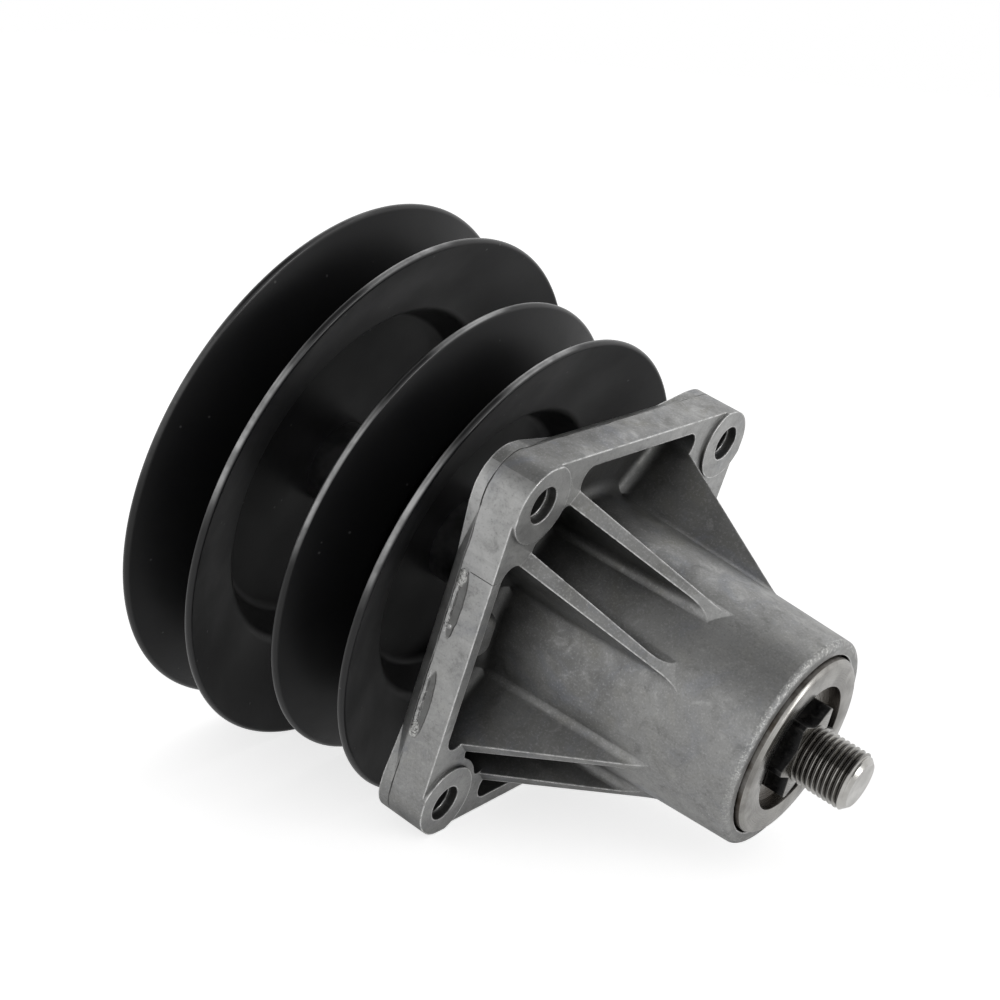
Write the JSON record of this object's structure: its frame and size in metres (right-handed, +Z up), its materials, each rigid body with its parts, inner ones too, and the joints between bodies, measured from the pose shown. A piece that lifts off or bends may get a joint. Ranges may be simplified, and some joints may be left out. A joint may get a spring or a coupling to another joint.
{
  "type": "mower deck spindle",
  "caption": "Mower deck spindle: a ribbed cast aluminium housing with a square bolt flange, a steel shaft with a star drive and threaded stub, and stacked black V-belt pulleys.",
  "frame": {"origin": "centre of the four deck pads, on their common plane", "axes": "+Z up the spindle axis towards the pulleys, -Z towards the blade stub, X and Y square to the flange sides"},
  "size_m": [0.1544, 0.1544, 0.1987],
  "materials": {
    "cast_housing": "die-cast satin, stained and burnished on the edges",
    "shaft_steel": "bright turned steel, dark forged star flanks",
    "pulley_paint": "black satin paint",
    "bearing_steel": "ground steel",
    "ball_steel": "polished steel",
    "cage_steel": "plain steel",
    "seal_rubber": "matte black rubber",
    "tube_steel": "zinc-plated steel",
    "nut_zinc": "zinc-plated steel"
  },
  "bodies": {
    "housing": {"spindle_housing": "cast_housing", "lower_bearing_outer_ring": "bearing_steel", "lower_bearing_outside_seal": "seal_rubber", "lower_bearing_inside_seal": "seal_rubber", "upper_bearing_outer_ring": "bearing_steel", "upper_bearing_outside_seal": "seal_rubber", "upper_bearing_inside_seal": "seal_rubber"},
    "spindle": {"spindle_shaft": "shaft_steel", "lower_bearing_inner_ring": "bearing_steel", "upper_bearing_inner_ring": "bearing_steel", "bearing_spacer": "tube_steel", "pulley_sleeve": "tube_steel", "pulley_spacer": "tube_steel", "lower_pulley_bottom_half": "pulley_paint", "lower_pulley_top_half": "pulley_paint", "upper_pulley_bottom_half": "pulley_paint", "upper_pulley_top_half": "pulley_paint", "top_washer": "nut_zinc", "top_nut": "nut_zinc"},
    "lower_cage": {"lower_bearing_cage": "cage_steel", "lower_bearing_balls": "ball_steel"},
    "upper_cage": {"upper_bearing_cage": "cage_steel", "upper_bearing_balls": "ball_steel"}
  },
  "joints": [
    {"name": "spindle_spin", "type": "hinge", "parent": "housing", "child": "spindle", "pos_m": [0, 0, 0], "axis": [0, 0, 1], "continuous": true},
    {"name": "lower_cage_orbit", "type": "hinge", "parent": "housing", "child": "lower_cage", "pos_m": [0, 0, -0.0515], "axis": [0, 0, 1], "continuous": true},
    {"name": "upper_cage_orbit", "type": "hinge", "parent": "housing", "child": "upper_cage", "pos_m": [0, 0, 0.0086], "axis": [0, 0, 1], "continuous": true}
  ],
  "couplings": [
    {"joint": "lower_cage_orbit", "follows": "spindle_spin", "ratio": 0.38152},
    {"joint": "upper_cage_orbit", "follows": "spindle_spin", "ratio": 0.38152}
  ]
}
